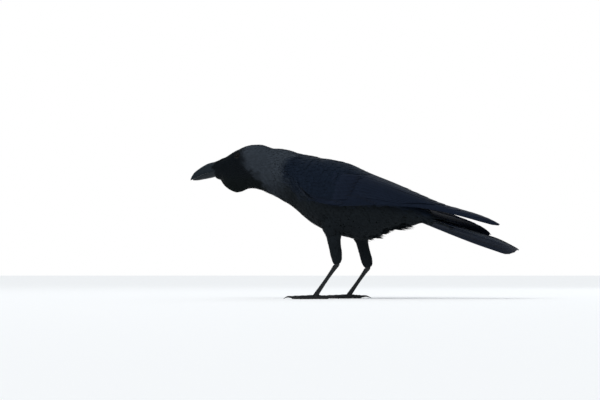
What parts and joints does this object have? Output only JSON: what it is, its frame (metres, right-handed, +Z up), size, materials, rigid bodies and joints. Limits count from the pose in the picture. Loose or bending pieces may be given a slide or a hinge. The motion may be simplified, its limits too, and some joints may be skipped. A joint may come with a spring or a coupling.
{
  "type": "life-size house crow model",
  "caption": "Still, life-size house crow standing on the floor, leaning forward with head and bill stretched out, wings folded and tail low.",
  "frame": {"origin": "on the floor, under the middle of the bird's outer box", "axes": "+X from the bill to the tail, -Y to the bird's left side, +Z up"},
  "size_m": [0.4004, 0.0874, 0.1876],
  "materials": {
    "black_plumage": "black feathers with a blue and purple gloss",
    "grey_plumage": "soft ash-grey feathers with a lilac tint",
    "charcoal_plumage": "dull charcoal feathers, loose at the belly",
    "bill_horn": "black horn, satin",
    "eye": "dark brown, wet gloss",
    "leg_skin": "black scaled skin, satin",
    "claw": "black horn, satin"
  },
  "bodies": {
    "root": {"head": "black_plumage", "neck": "grey_plumage", "trunk": "charcoal_plumage", "bill_upper": "bill_horn", "bill_lower": "bill_horn", "eye_left": "eye", "eye_right": "eye", "wing_left": "black_plumage", "primaries_left": "black_plumage", "wing_right": "black_plumage", "primaries_right": "black_plumage", "tail": "black_plumage", "shank_left": "charcoal_plumage", "tarsus_left": "leg_skin", "inner_toe_left": "leg_skin", "inner_toe_claw_left": "claw", "middle_toe_left": "leg_skin", "middle_toe_claw_left": "claw", "outer_toe_left": "leg_skin", "outer_toe_claw_left": "claw", "hind_toe_left": "leg_skin", "hind_toe_claw_left": "claw", "shank_right": "charcoal_plumage", "tarsus_right": "leg_skin", "inner_toe_right": "leg_skin", "inner_toe_claw_right": "claw", "middle_toe_right": "leg_skin", "middle_toe_claw_right": "claw", "outer_toe_right": "leg_skin", "outer_toe_claw_right": "claw", "hind_toe_right": "leg_skin", "hind_toe_claw_right": "claw"}
  },
  "joints": []
}
